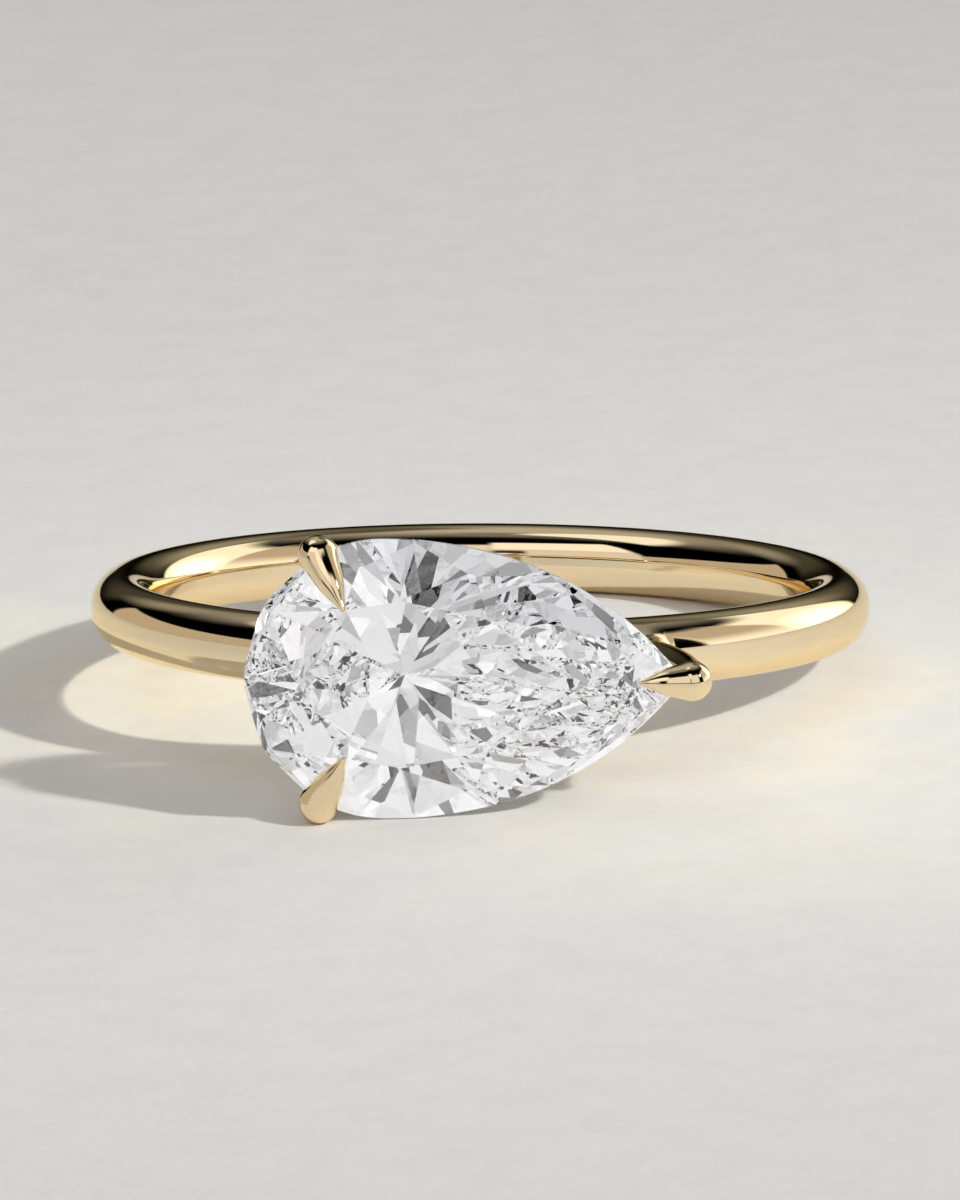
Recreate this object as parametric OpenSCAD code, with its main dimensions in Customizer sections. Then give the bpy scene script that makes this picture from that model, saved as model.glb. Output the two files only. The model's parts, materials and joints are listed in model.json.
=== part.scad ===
// Pear solitaire ring lying on its side: a plain oval shank, three pointed claws and one pear-cut stone

/* [Shank] */
// Diameter of the finger hole
finger_d = 16.9; // [15:0.1:20]
// Thickness of the shank, from the finger hole to the outside
shank_t = 1.6; // [1.5:0.05:1.7]
// Width of the shank, along the finger
shank_w = 1.78; // [1.74:0.02:2.4]

/* [Stone] */
// Width of the stone, across its round end
stone_w = 6.94; // [6.7:0.01:7.1]
// Radius of the outline's sides, where the stone is widest
side_r = 10.5; // [10.3:0.1:10.7]
// Radius of the outline's shoulders, from the sides to the point
shoulder_r = 8.5; // [8.3:0.1:8.7]
// Height of the girdle above the outside of the shank
girdle_rise = 2.83; // [2.8:0.01:3.1]
// Thickness of the girdle where the facets meet it
girdle_t = 0.22; // [0.18:0.01:0.3]
// Width of the table, as a share of the stone's width
table_share = 0.6; // [0.58:0.01:0.61]
// Angle of the crown's main facets at the round end, in degrees
crown_angle = 34; // [32:0.5:36]
// Angle of the pavilion's main facets at the widest place, in degrees
pavilion_angle = 40.6; // [39:0.2:41]
// Angle of the pavilion's main facet at the point, in degrees
point_angle = 35; // [32:0.5:38]
// Distance of the culet from the round end's centre, towards the point
culet_shift = 0.45; // [0.3:0.05:0.6]

/* [Claws] */
// Thickness of a claw at its round end
claw_d = 1; // [0.94:0.02:1.06]
// Thickness of a claw's leg
leg_d = 0.92; // [0.84:0.02:0.96]
// Angle of the two round-end claws from the stone's long axis, on the point side, in degrees
claw_turn = 118; // [118:1:122]
// Reach of a round-end claw outside the girdle
claw_out = 0.53; // [0.48:0.01:0.56]
// Reach of the point claw outside the stone's point
point_out = 0.69; // [0.64:0.01:0.74]
// Reach of a round-end claw's tip inside the girdle
claw_in = 1.44; // [1.38:0.02:1.5]
// Reach of the point claw's tip inside the stone's point
point_in = 1.09; // [1:0.01:1.2]
// Gap that the claws' seats leave round the stone
seat_gap = 0.03; // [0.02:0.01:0.05]

/* [Rest] */
// Roll towards the stone's point at which the ring balances on a claw and the back of its shank, in degrees
rest_roll = 2.56; // [2.4:0.01:2.7]

/* [Hidden] */
gold = [0.85, 0.71, 0.48];
clear = [0.93, 0.93, 0.95];
$fn = 96;

// Shank
centre_r = finger_d / 2 + shank_t / 2;
land_w = shank_w - shank_t;

// Stone, with the round end's centre as its origin and the table facing up
half_w = stone_w / 2;
side_sink = side_r - half_w;
side_turn = asin(0.28);
shoulder_hub = [0, -side_sink] + (side_r - shoulder_r) * facing(side_turn);
point_turn = acos(-shoulder_hub.y / shoulder_r);
point_x = shoulder_hub.x + shoulder_r * sin(point_turn);
stone_l = half_w + point_x;
rim_z = girdle_t / 2;
crown_h = (1 - table_share) * half_w * tan(crown_angle);
pavilion_h = half_w * tan(pavilion_angle);
star_share = 0.52;
lower_share = 0.78;
cutter = 4 * stone_w;
// How far each main facet in turn stands out from where the ideal facets would all meet in points
polish = 0.002;

// Main facets of one half, from the round end to the point: the direction that each faces,
// as an angle from straight across the stone, and its table corner as a share of the way out
FACING = 0;
CORNER = 1;
ROUND_END = -90;
POINT = 90;
mains = [
    [ROUND_END, table_share],
    [90 - claw_turn, table_share],
    [4, table_share],
    [24, table_share + 0.02],
    [POINT, table_share + 0.08]
];
last = len(mains) - 1;

// Head
stone_x = half_w - stone_l / 2;
girdle_y = finger_d / 2 + shank_t + girdle_rise;
tip_d = 0.12;
tip_rise = tip_d / 4;
round_rise = 0.2;
point_rise = 0.15;
point_slope = crown_h / crown_run(last);

// Claws, each in its own upright plane through the round end's centre: the turn of that plane, the middles
// of the claw's round end and of its pointed end, as distance and height, and the leg's lean at the girdle,
// the radius of its bow and its lean where it ends in the shank
TURN = 0;
ROOT = 1;
TIP = 2;
LEAN = 3;
BOW = 4;
END = 5;
round_root = [half_w + claw_out - claw_d / 2, round_rise];
round_tip = [half_w - claw_in + tip_d / 2, rim_z + crown_h + tip_rise];
point_root = [point_x + point_out - claw_d / 2, point_rise];
point_tip = [point_x - point_in + tip_d / 2, rim_z + point_in * point_slope + tip_rise];
claws = [
    [-claw_turn, round_root, round_tip, 10, 4.2, 85],
    [claw_turn, round_root, round_tip, 10, 4.2, 85],
    [0, point_root, point_tip, 5, 12, 30]
];

function facing(s) = [sin(s), cos(s)];
function rim(s) =
    s == POINT ? [point_x, 0] :
    s < 0 ? half_w * facing(s) :
    s < side_turn ? side_r * facing(s) - [0, side_sink] :
    shoulder_hub + shoulder_r * facing(s);
function halfway(i) =
    i == last - 1 ? (mains[i][FACING] + point_turn) / 2 :
    (mains[i][FACING] + mains[i + 1][FACING]) / 2;
function reach(i) = facing(mains[i][FACING]) * rim(mains[i][FACING]);
function crown_run(i) = reach(i) * (1 - mains[i][CORNER]);
function pavilion_run(i) =
    i == last ? 1 / tan(point_angle) :
    (reach(i) - facing(mains[i][FACING]).x * culet_shift) / pavilion_h;
function keel_depth(i) =
    i == last - 1
        ? (reach(i) - facing(mains[i][FACING]).x * point_x)
            / (pavilion_run(i) - facing(mains[i][FACING]).x * pavilion_run(last))
        : pavilion_h;
function meet(n, m, p, q) = [m * p.y - q * n.y, n.x * q - p.x * m] / (n.x * p.y - n.y * p.x);
function star_point(i) =
    meet(facing(mains[i][FACING]), reach(i) - (1 - star_share) * crown_run(i),
         facing(mains[i + 1][FACING]), reach(i + 1) - (1 - star_share) * crown_run(i + 1));
function lower_point(i, depth) =
    meet(facing(mains[i][FACING]), reach(i) - depth * pavilion_run(i),
         facing(mains[i + 1][FACING]), reach(i + 1) - depth * pavilion_run(i + 1));
function at(p, z) = [p.x, p.y, z];
function plane_up(a, b, c) =
    let (n = cross(b - a, c - a)) n / norm(n) * sign(n.z);

// How far the ring reaches from its centre in a direction, and the directions that the resting ring has
// to its right, to its back and straight down
function on_shank(turn, p) = [stone_x + p.x * cos(turn), -girdle_y - p.y, p.x * sin(turn)];
function shank_reach(dir) =
    centre_r * norm([dir.x, dir.y]) + shank_t / 2 + abs(dir.z) * land_w / 2;
function claws_reach(dir) =
    max([for (c = claws) each [
        on_shank(c[TURN], c[ROOT]) * dir + claw_d / 2,
        on_shank(c[TURN], c[TIP]) * dir + tip_d / 2
    ]]);
function ring_reach(dir) = max(shank_reach(dir), claws_reach(dir));
function to_right(tilt) = [cos(rest_roll), -sin(rest_roll) * sin(tilt), sin(rest_roll) * cos(tilt)];
function to_back(tilt) = [0, cos(tilt), sin(tilt)];
function to_floor(tilt) = [sin(rest_roll), cos(rest_roll) * sin(tilt), -cos(rest_roll) * cos(tilt)];
function settled(low, high) =
    let (tilt = (low + high) / 2)
    high - low < 0.0001 ? tilt :
    claws_reach(to_floor(tilt)) > shank_reach(to_floor(tilt)) ? settled(tilt, high) :
    settled(low, tilt);
rest_tilt = settled(0, 20);

// Removes what lies beyond the plane through p that faces n, moved out by grow
module beyond(p, n, grow) {
    translate(p + grow * n)
        rotate([0, acos(n.z), atan2(n.y, n.x)])
            translate([-cutter / 2, -cutter / 2, 0])
                cube(cutter);
}

// What two mirrored arcs enclose between two places along the stone
module between_arcs(hub, r, from_x, to_x) {
    intersection() {
        translate(hub) circle(r);
        translate([hub.x, -hub.y]) circle(r);
        translate([from_x, -stone_w]) square([to_x - from_x, 2 * stone_w]);
    }
}

module outline(grow) {
    shoulder_x = (side_r + grow) * facing(side_turn).x;
    circle(half_w + grow);
    between_arcs([0, -side_sink], side_r + grow, 0, shoulder_x);
    between_arcs(shoulder_hub, shoulder_r + grow, shoulder_x, 2 * stone_l);
}

module crown_main(i, grow) {
    n = facing(mains[i][FACING]);
    beyond(at(rim(mains[i][FACING]), rim_z),
           [n.x * crown_h, n.y * crown_h, crown_run(i)] / norm([crown_h, crown_run(i)]),
           grow + polish * (i + 1));
}

module crown_between(i, grow) {
    star = at(star_point(i), rim_z + (1 - star_share) * crown_h);
    corner_a = at(rim(mains[i][FACING]) * mains[i][CORNER], rim_z + crown_h);
    corner_b = at(rim(mains[i + 1][FACING]) * mains[i + 1][CORNER], rim_z + crown_h);
    rim_a = at(rim(mains[i][FACING]), rim_z);
    rim_b = at(rim(mains[i + 1][FACING]), rim_z);
    rim_half = at(rim(halfway(i)), rim_z);
    beyond(star, plane_up(star, corner_a, corner_b), grow);
    beyond(star, plane_up(star, rim_a, rim_half), grow);
    beyond(star, plane_up(star, rim_b, rim_half), grow);
}

module pavilion_main(i, grow) {
    n = facing(mains[i][FACING]);
    beyond(at(rim(mains[i][FACING]), -rim_z),
           [n.x, n.y, -pavilion_run(i)] / norm([1, pavilion_run(i)]), grow + polish * (i + 1));
}

module pavilion_between(i, grow) {
    depth = lower_share * keel_depth(i);
    low = at(lower_point(i, depth), -rim_z - depth);
    rim_a = at(rim(mains[i][FACING]), -rim_z);
    rim_b = at(rim(mains[i + 1][FACING]), -rim_z);
    rim_half = at(rim(halfway(i)), -rim_z);
    beyond(low, -plane_up(low, rim_a, rim_half), grow);
    beyond(low, -plane_up(low, rim_b, rim_half), grow);
}

// The faceted stone, or the same form grown on every side for the seats in the claws
module cut_stone(grow = 0) {
    difference() {
        translate([0, 0, -rim_z - pavilion_h - 1])
            linear_extrude(crown_h + pavilion_h + girdle_t + 2)
                outline(grow);
        beyond([0, 0, rim_z + crown_h], [0, 0, 1], grow);
        crown_main(0, grow);
        crown_main(last, grow);
        pavilion_main(0, grow);
        pavilion_main(last, grow);
        for (side = [0, 1]) mirror([0, side, 0]) {
            for (i = [1 : last - 1]) {
                crown_main(i, grow);
                pavilion_main(i, grow);
            }
            for (i = [0 : last - 1]) {
                crown_between(i, grow);
                pavilion_between(i, grow);
            }
        }
    }
}

// Claw seen from the side: a drop over the girdle that tapers to a point on the crown, and a bowed leg
module drop(length) {
    rotate_extrude()
        intersection() {
            union() {
                circle(d = claw_d);
                translate([0, length]) circle(d = tip_d);
                slope = (claw_d - tip_d) / 2 / length;
                flank = sqrt(1 - slope * slope);
                polygon([
                    [0, 0],
                    [flank, slope] * claw_d / 2,
                    [0, length] + [flank, slope] * tip_d / 2,
                    [0, length]
                ]);
            }
            translate([0, -claw_d]) square([claw_d, length + 2 * claw_d]);
        }
}

module claw(c) {
    run = c[TIP] - c[ROOT];
    bow = c[ROOT] + c[BOW] * [-cos(c[LEAN]), sin(c[LEAN])];
    rotate([0, 0, c[TURN]]) {
        translate([c[ROOT].x, 0, c[ROOT].y])
            rotate([0, -atan2(-run.x, run.y), 0])
                drop(norm(run));
        translate([bow.x, 0, bow.y])
            rotate([-90, 0, 0])
                rotate([0, 0, c[LEAN]])
                    rotate_extrude(angle = c[END] - c[LEAN])
                        translate([c[BOW], 0]) circle(d = leg_d);
    }
}

module shank() {
    rotate_extrude() {
        translate([centre_r, 0]) square([shank_t, land_w], center = true);
        translate([centre_r, land_w / 2]) circle(d = shank_t);
        translate([centre_r, -land_w / 2]) circle(d = shank_t);
    }
}

// Moves the stone's own frame to its place on the shank, table outwards
module set_on_shank() {
    translate([stone_x, -girdle_y, 0]) rotate([90, 0, 0]) children();
}

// Lays the ring on the floor, in the middle of the box that it fills
module at_rest() {
    right = to_right(rest_tilt);
    back = to_back(rest_tilt);
    translate([
        (ring_reach(-right) - ring_reach(right)) / 2,
        (ring_reach(-back) - ring_reach(back)) / 2,
        ring_reach(to_floor(rest_tilt))
    ])
        rotate([-rest_tilt, rest_roll, 0]) children();
}

module ring_mount() {
    color(gold) at_rest() difference() {
        union() {
            shank();
            set_on_shank() for (c = claws) claw(c);
        }
        set_on_shank() cut_stone(seat_gap);
    }
}

module pear_stone() {
    color(clear) at_rest() set_on_shank() cut_stone();
}

ring_mount();
pear_stone();
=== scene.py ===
"""Looks of a pear solitaire ring: polished gold mount, cut stone, plaster floor and soft studio light."""

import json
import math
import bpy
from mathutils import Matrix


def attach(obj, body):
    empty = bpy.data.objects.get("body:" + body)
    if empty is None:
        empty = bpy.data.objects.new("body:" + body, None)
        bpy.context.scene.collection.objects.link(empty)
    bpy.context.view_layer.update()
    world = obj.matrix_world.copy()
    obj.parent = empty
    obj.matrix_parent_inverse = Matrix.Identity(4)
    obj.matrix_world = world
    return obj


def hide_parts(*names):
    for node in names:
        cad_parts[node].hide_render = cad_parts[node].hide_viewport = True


bl_info = {
    "name": "Pear solitaire ring",
    "version": (1, 0, 0),
    "blender": (4, 5, 0),
    "location": "3D View > Sidebar > Pear ring",
    "description": "Dresses the pear solitaire ring and lights it as in a studio",
    "category": "Object",
}

import bmesh
import bpy
import numpy as np
from bpy.props import FloatProperty, FloatVectorProperty, IntProperty, PointerProperty
from mathutils import Matrix, Vector

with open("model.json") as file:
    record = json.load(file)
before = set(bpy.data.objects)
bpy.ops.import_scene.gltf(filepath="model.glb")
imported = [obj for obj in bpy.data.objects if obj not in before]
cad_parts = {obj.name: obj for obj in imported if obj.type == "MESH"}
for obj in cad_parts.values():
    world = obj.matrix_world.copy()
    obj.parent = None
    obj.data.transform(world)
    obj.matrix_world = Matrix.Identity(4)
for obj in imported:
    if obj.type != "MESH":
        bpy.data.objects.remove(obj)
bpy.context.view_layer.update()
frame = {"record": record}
BODY = "root"

# Lengths in the settings are in metres, and the shapes are worked out in millimetres
MM = 0.001

# How often light may turn inside the stone
STONE_BOUNCES = 24

# Facing of the pear's two ends, as an angle from straight across the stone, in degrees
ROUND_END = -90.0
POINT = 90.0

# Angle of the two round-end claws from the stone's long axis, on the point side, in degrees
CLAW_TURN = 118.0

# Faces round a claw and its leg, and round the floor and the backdrop
CLAW_FACES = 48
STAGE_FACES = 96

# A face of the mount lies on its rounded form where it is so near to it, in millimetres, and the cosine
# between the ways that the two face is more than this. The faces of the seats don't.
NEAR_FORM = 0.012
ALONG_FORM = 0.8


def finger_hole():
    """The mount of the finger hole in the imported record."""
    return next(mount for mount in frame["record"]["mounts"] if mount["name"] == "finger_hole")


def ring_to_row():
    """Matrix in millimetres from the ring's own frame, whose finger hole is along Z, to the row's."""
    hole = finger_hole()
    axis = Vector(hole["axis"]).normalized()
    across = Vector((0, 1, 0)).cross(axis).normalized()
    turn = Matrix((across, axis.cross(across), axis)).transposed()
    return Matrix.Translation(Vector(hole["pos_m"]) / MM) @ turn.to_4x4()


def facing(turn):
    """Unit vector at that many degrees from straight across the stone, towards the point."""
    return np.array([math.sin(math.radians(turn)), math.cos(math.radians(turn))])


def toward(azimuth, elevation):
    """Unit vector from the ring, with azimuth 0 on the camera's side and 90 degrees at the stone's point."""
    return Vector((
        math.sin(azimuth) * math.cos(elevation),
        -math.cos(azimuth) * math.cos(elevation),
        math.sin(elevation),
    ))


def plane_through(a, b, c, up):
    """Plane through three points, facing up for 1 and down for -1."""
    normal = np.cross(b - a, c - a)
    normal = normal / np.linalg.norm(normal) * np.sign(normal[2]) * up
    return a, normal


def smooth_min(a, b, blend):
    """The smaller of two distances, rounded where they are within blend of each other."""
    share = np.clip(0.5 + 0.5 * (b - a) / blend, 0, 1)
    return b + (a - b) * share - blend * share * (1 - share)


def join_rings(made, near, far):
    """A band of faces between two rings of vertices."""
    for k in range(len(near)):
        after = (k + 1) % len(near)
        made.faces.new((near[k], near[after], far[after], far[k]))


def tube(made, rings, closed):
    """Faces between rings of points, joined end to end or capped."""
    rows = [[made.verts.new(p) for p in ring] for ring in rings]
    for near, far in zip(rows, rows[1:]):
        join_rings(made, near, far)
    if closed:
        join_rings(made, rows[-1], rows[0])
    else:
        made.faces.new(reversed(rows[0]))
        made.faces.new(rows[-1])
    bmesh.ops.recalc_face_normals(made, faces=made.faces)


class PearRingMountSettings(bpy.types.PropertyGroup):
    """Sizes and finish of the gold mount"""

    shank_thickness: FloatProperty(
        name="Shank thickness",
        description="From the finger hole to the outside",
        default=1.6 * MM,
        unit="LENGTH",
    )
    shank_width: FloatProperty(
        name="Shank width",
        description="Along the finger",
        default=1.78 * MM,
        unit="LENGTH",
    )
    claw_thickness: FloatProperty(
        name="Claw thickness",
        description="Of a claw's round end",
        default=1.0 * MM,
        unit="LENGTH",
    )
    tip_thickness: FloatProperty(
        name="Tip thickness",
        description="Of a claw's pointed end",
        default=0.12 * MM,
        unit="LENGTH",
    )
    leg_thickness: FloatProperty(
        name="Leg thickness",
        description="Of a claw's leg",
        default=0.92 * MM,
        unit="LENGTH",
    )
    solder_fillet: FloatProperty(
        name="Solder fillet",
        description="Reach of the rounding where the legs meet the shank and the claws",
        default=0.34 * MM,
        unit="LENGTH",
    )
    shank_steps: IntProperty(
        name="Shank steps",
        description="Rings of faces round the shank",
        default=480,
        min=96,
    )
    section_steps: IntProperty(
        name="Section steps",
        description="Faces round the shank's own section",
        default=64,
        min=24,
    )
    gold: FloatVectorProperty(
        name="Gold",
        description="Colour of the polished yellow gold",
        subtype="COLOR",
        size=4,
        default=(0.93, 0.772, 0.52, 1.0),
    )
    polish: FloatProperty(
        name="Polish roughness",
        description="Roughness of the polished gold",
        default=0.045,
        subtype="FACTOR",
    )


class PearRingStoneSettings(bpy.types.PropertyGroup):
    """Sizes and finish of the pear-cut stone"""

    width: FloatProperty(
        name="Width",
        description="Across the stone's round end",
        default=6.94 * MM,
        unit="LENGTH",
    )
    side_radius: FloatProperty(
        name="Side radius",
        description="Of the outline where the stone is widest",
        default=10.5 * MM,
        unit="LENGTH",
    )
    shoulder_radius: FloatProperty(
        name="Shoulder radius",
        description="Of the outline from the sides to the point",
        default=8.5 * MM,
        unit="LENGTH",
    )
    girdle_rise: FloatProperty(
        name="Girdle rise",
        description="Height of the girdle above the outside of the shank",
        default=2.83 * MM,
        unit="LENGTH",
    )
    girdle_thickness: FloatProperty(
        name="Girdle thickness",
        description="Of the girdle where the facets meet it",
        default=0.22 * MM,
        unit="LENGTH",
    )
    culet_shift: FloatProperty(
        name="Culet shift",
        description="From the round end's centre towards the point",
        default=0.45 * MM,
        unit="LENGTH",
    )
    seat_gap: FloatProperty(
        name="Seat gap",
        description="Between the stone and the claws' seats",
        default=0.03 * MM,
        unit="LENGTH",
    )
    refraction: FloatProperty(
        name="Refraction",
        description="Index of refraction of the stone",
        default=2.417,
        min=1.0,
    )


class PearRingStageSettings(bpy.types.PropertyGroup):
    """Camera, floor and light"""

    camera_distance: FloatProperty(
        name="Camera distance",
        description="From the camera to the middle of the finger hole",
        default=264.3 * MM,
        unit="LENGTH",
    )
    camera_yaw: FloatProperty(
        name="Camera yaw",
        description="Turn of the camera towards the stone's point",
        default=math.radians(1.77),
        subtype="ANGLE",
    )
    camera_rise: FloatProperty(
        name="Camera rise",
        description="Elevation of the camera over the plane of the shank",
        default=math.radians(8.076),
        subtype="ANGLE",
    )
    camera_lens: FloatProperty(
        name="Lens",
        description="Focal length of the camera, in millimetres",
        default=306.9,
    )
    key_azimuth: FloatProperty(
        name="Key azimuth",
        description="Turn of the key light from the camera's side towards the right",
        default=math.radians(58),
        subtype="ANGLE",
    )
    key_elevation: FloatProperty(
        name="Key elevation",
        description="Of the key light above the floor",
        default=math.radians(34.2),
        subtype="ANGLE",
    )
    key_spread: FloatProperty(
        name="Key spread",
        description="Angle that the key light fills, which softens the edges of the shadows",
        default=math.radians(4),
        subtype="ANGLE",
    )
    key_distance: FloatProperty(
        name="Key distance",
        description="From the ring to the key light",
        default=1.0,
        unit="LENGTH",
    )
    key_strength: FloatProperty(
        name="Key strength",
        description="Of the key light, in watts a square metre",
        default=1.95,
    )
    pool_strength: FloatProperty(
        name="Pool strength",
        description="Of the warm pools of light round the ring, in watts a square metre",
        default=0.62,
    )
    fill_strength: FloatProperty(
        name="Fill strength",
        description="Of the wide light from above, which only the floor gathers",
        default=0.44,
    )
    fill_spread: FloatProperty(
        name="Fill spread",
        description="Angle that the wide light from above fills",
        default=math.radians(120),
        subtype="ANGLE",
    )
    soft_strength: FloatProperty(
        name="Soft light",
        description="Of all the soft boxes together",
        default=1.0,
    )
    floor_radius: FloatProperty(
        name="Floor radius",
        description="Of the flat floor, before it curves up into the backdrop",
        default=0.3,
        unit="LENGTH",
    )
    backdrop_radius: FloatProperty(
        name="Backdrop radius",
        description="Of the backdrop at its top",
        default=0.8,
        unit="LENGTH",
    )
    backdrop_height: FloatProperty(
        name="Backdrop height",
        description="Of the backdrop above the floor",
        default=0.75,
        unit="LENGTH",
    )
    plaster: FloatVectorProperty(
        name="Plaster",
        description="Colour of the pale floor",
        subtype="COLOR",
        size=4,
        default=(0.822, 0.819, 0.807, 1.0),
    )
    # Colour of the warm clouds, which near the ring also paint a warm glow of light thrown off the gold
    warm_cloud_and_glow: FloatVectorProperty(
        name="Warm plaster",
        description="Colour of the floor's warmer clouds",
        subtype="COLOR",
        size=4,
        default=(0.88, 0.845, 0.77, 1.0),
    )


class PearCut:
    """The stone's outline and facets in millimetres, table up, with the round end's centre as origin."""

    # The table as a share of the stone's width, the stars of the way from the table to the edge, and the
    # lower girdle facets of the pavilion's depth
    table_share = 0.6
    star_share = 0.52
    lower_share = 0.78
    # Angles of the main facets, and the facing at which the outline's sides become its shoulders, in degrees
    crown_angle = 34.0
    pavilion_angle = 40.6
    point_angle = 35.0
    side_turn = math.degrees(math.asin(0.28))
    # How far each main facet in turn stands out from where the ideal facets would all meet in points
    polish = 0.002

    def __init__(self, sizes):
        self.half_w = sizes.width / MM / 2
        self.side_r = sizes.side_radius / MM
        self.shoulder_r = sizes.shoulder_radius / MM
        self.culet_shift = sizes.culet_shift / MM
        self.rim_z = sizes.girdle_thickness / MM / 2
        self.side_hub = np.array([0, self.half_w - self.side_r])
        self.shoulder_hub = self.side_hub + (self.side_r - self.shoulder_r) * facing(self.side_turn)
        self.point_turn = math.degrees(math.acos(-self.shoulder_hub[1] / self.shoulder_r))
        self.point_x = self.shoulder_hub[0] + self.shoulder_r * math.sin(math.radians(self.point_turn))
        self.length = self.half_w + self.point_x
        self.crown_h = (1 - self.table_share) * self.half_w * math.tan(math.radians(self.crown_angle))
        self.pavilion_h = self.half_w * math.tan(math.radians(self.pavilion_angle))
        # Main facets of one half, from the round end to the point: the way that each faces, and its corner at
        # the table as a share of the way out
        self.mains = [
            (ROUND_END, self.table_share),
            (POINT - CLAW_TURN, self.table_share),
            (4.0, self.table_share),
            (24.0, self.table_share + 0.02),
            (POINT, self.table_share + 0.08),
        ]
        self.last = len(self.mains) - 1

    def rim(self, turn, grow=0.0):
        """Place on the outline whose edge faces that way."""
        if turn == POINT:
            return np.array([self.point_x, 0.0])
        if turn < 0:
            return (self.half_w + grow) * facing(turn)
        if turn < self.side_turn:
            return self.side_hub + (self.side_r + grow) * facing(turn)
        return self.shoulder_hub + (self.shoulder_r + grow) * facing(turn)

    def outline(self, grow=0.0, step=2.0):
        """Outline of the girdle, from the round end along one side to the point and back along the other."""
        tip = math.degrees(math.acos(-self.shoulder_hub[1] / (self.shoulder_r + grow)))
        turns = [ROUND_END + step * i for i in range(1, int((tip - ROUND_END) / step))]
        half = [self.rim(turn, grow) for turn in turns]
        end = [self.shoulder_hub[0] + (self.shoulder_r + grow) * math.sin(math.radians(tip)), 0.0]
        back = [-self.half_w - grow, 0.0]
        return [back, *half, end, *[(p[0], -p[1]) for p in reversed(half)]]

    def reach(self, i):
        """Distance from the origin to the edge below a main facet, along the way that it faces."""
        turn = self.mains[i][0]
        return float(facing(turn) @ self.rim(turn))

    def crown_run(self, i):
        """Level distance from the edge to the table along a main facet."""
        return self.reach(i) * (1 - self.mains[i][1])

    def pavilion_run(self, i):
        """Level distance for each millimetre that a main facet goes down."""
        if i == self.last:
            return 1 / math.tan(math.radians(self.point_angle))
        return (self.reach(i) - facing(self.mains[i][0])[0] * self.culet_shift) / self.pavilion_h

    def keel_depth(self, i):
        """Depth below the girdle that a pair of main facets reaches."""
        if i != self.last - 1:
            return self.pavilion_h
        side = facing(self.mains[i][0])[0]
        return (self.reach(i) - side * self.point_x) / (
            self.pavilion_run(i) - side * self.pavilion_run(self.last)
        )

    def halfway(self, i):
        """Facing of the edge halfway between two neighbouring mains."""
        after = self.point_turn if i == self.last - 1 else self.mains[i + 1][0]
        return (self.mains[i][0] + after) / 2

    def meet(self, i, first, second):
        """Where the lines of two neighbouring main facets meet, at those distances from the origin."""
        lines = np.array([facing(self.mains[i][0]), facing(self.mains[i + 1][0])])
        return np.linalg.solve(lines, [first, second])

    def crown_main(self, i):
        """Main facet above the girdle, as a point and the way that it faces."""
        side = facing(self.mains[i][0])
        normal = np.array([*(side * self.crown_h), self.crown_run(i)])
        normal /= np.linalg.norm(normal)
        edge = np.array([*self.rim(self.mains[i][0]), self.rim_z])
        return edge + normal * self.polish * (i + 1), normal

    def pavilion_main(self, i):
        """Main facet below the girdle, as a point and the way that it faces."""
        normal = np.array([*facing(self.mains[i][0]), -self.pavilion_run(i)])
        normal /= np.linalg.norm(normal)
        edge = np.array([*self.rim(self.mains[i][0]), -self.rim_z])
        return edge + normal * self.polish * (i + 1), normal

    def between(self, i):
        """Star, upper girdle and lower girdle facets between two neighbouring mains."""
        part = 1 - self.star_share
        star = self.meet(
            i,
            self.reach(i) - part * self.crown_run(i),
            self.reach(i + 1) - part * self.crown_run(i + 1),
        )
        star = np.array([*star, self.rim_z + part * self.crown_h])
        corners = [
            np.array([*(self.rim(turn) * share), self.rim_z + self.crown_h])
            for turn, share in self.mains[i : i + 2]
        ]
        depth = self.lower_share * self.keel_depth(i)
        low = self.meet(
            i,
            self.reach(i) - depth * self.pavilion_run(i),
            self.reach(i + 1) - depth * self.pavilion_run(i + 1),
        )
        low = np.array([*low, -self.rim_z - depth])
        half = self.rim(self.halfway(i))
        found = [plane_through(star, *corners, 1)]
        for turn, _ in self.mains[i : i + 2]:
            edge = self.rim(turn)
            for tip, up in ((star, 1), (low, -1)):
                rim_a, rim_b = (np.array([*place, up * self.rim_z]) for place in (edge, half))
                found.append(plane_through(tip, rim_a, rim_b, up))
        return found

    def facets(self):
        """Every facet as a point and the way that it faces."""
        one_half = []
        for i in range(1, self.last):
            one_half += [self.crown_main(i), self.pavilion_main(i)]
        for i in range(self.last):
            one_half += self.between(i)
        ends = [(np.array([0, 0, self.rim_z + self.crown_h]), np.array([0, 0, 1.0]))]
        for i in (0, self.last):
            ends += [self.crown_main(i), self.pavilion_main(i)]
        flip = np.array([1, -1, 1])
        return ends + one_half + [(point * flip, normal * flip) for point, normal in one_half]

    def solid(self, grow=0.0):
        """The cut stone as a bmesh, or the same form grown on every side."""
        made = bmesh.new()
        heights = (-self.rim_z - self.pavilion_h - 1, self.rim_z + self.crown_h + 1)
        tube(made, [[(*p, z) for p in self.outline(grow)] for z in heights], False)
        for point, normal in self.facets():
            everything = [*made.verts, *made.edges, *made.faces]
            cut = bmesh.ops.bisect_plane(
                made,
                geom=everything,
                dist=1e-6,
                plane_co=Vector(point + normal * grow),
                plane_no=Vector(normal),
                clear_outer=True,
            )
            rim = [e for e in cut["geom_cut"] if isinstance(e, bmesh.types.BMEdge)]
            if rim:
                bmesh.ops.holes_fill(made, edges=rim, sides=0)
        bmesh.ops.recalc_face_normals(made, faces=made.faces)
        return made


def stone_to_ring(cut, stone, mount):
    """Matrix from the stone's frame to the ring's, in millimetres."""
    outside = finger_hole()["dims"]["r_mm"] + mount.shank_thickness / MM
    place = Vector((cut.half_w - cut.length / 2, -outside - stone.girdle_rise / MM, 0))
    return Matrix.Translation(place) @ Matrix.Rotation(math.radians(90), 4, "X")


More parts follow.
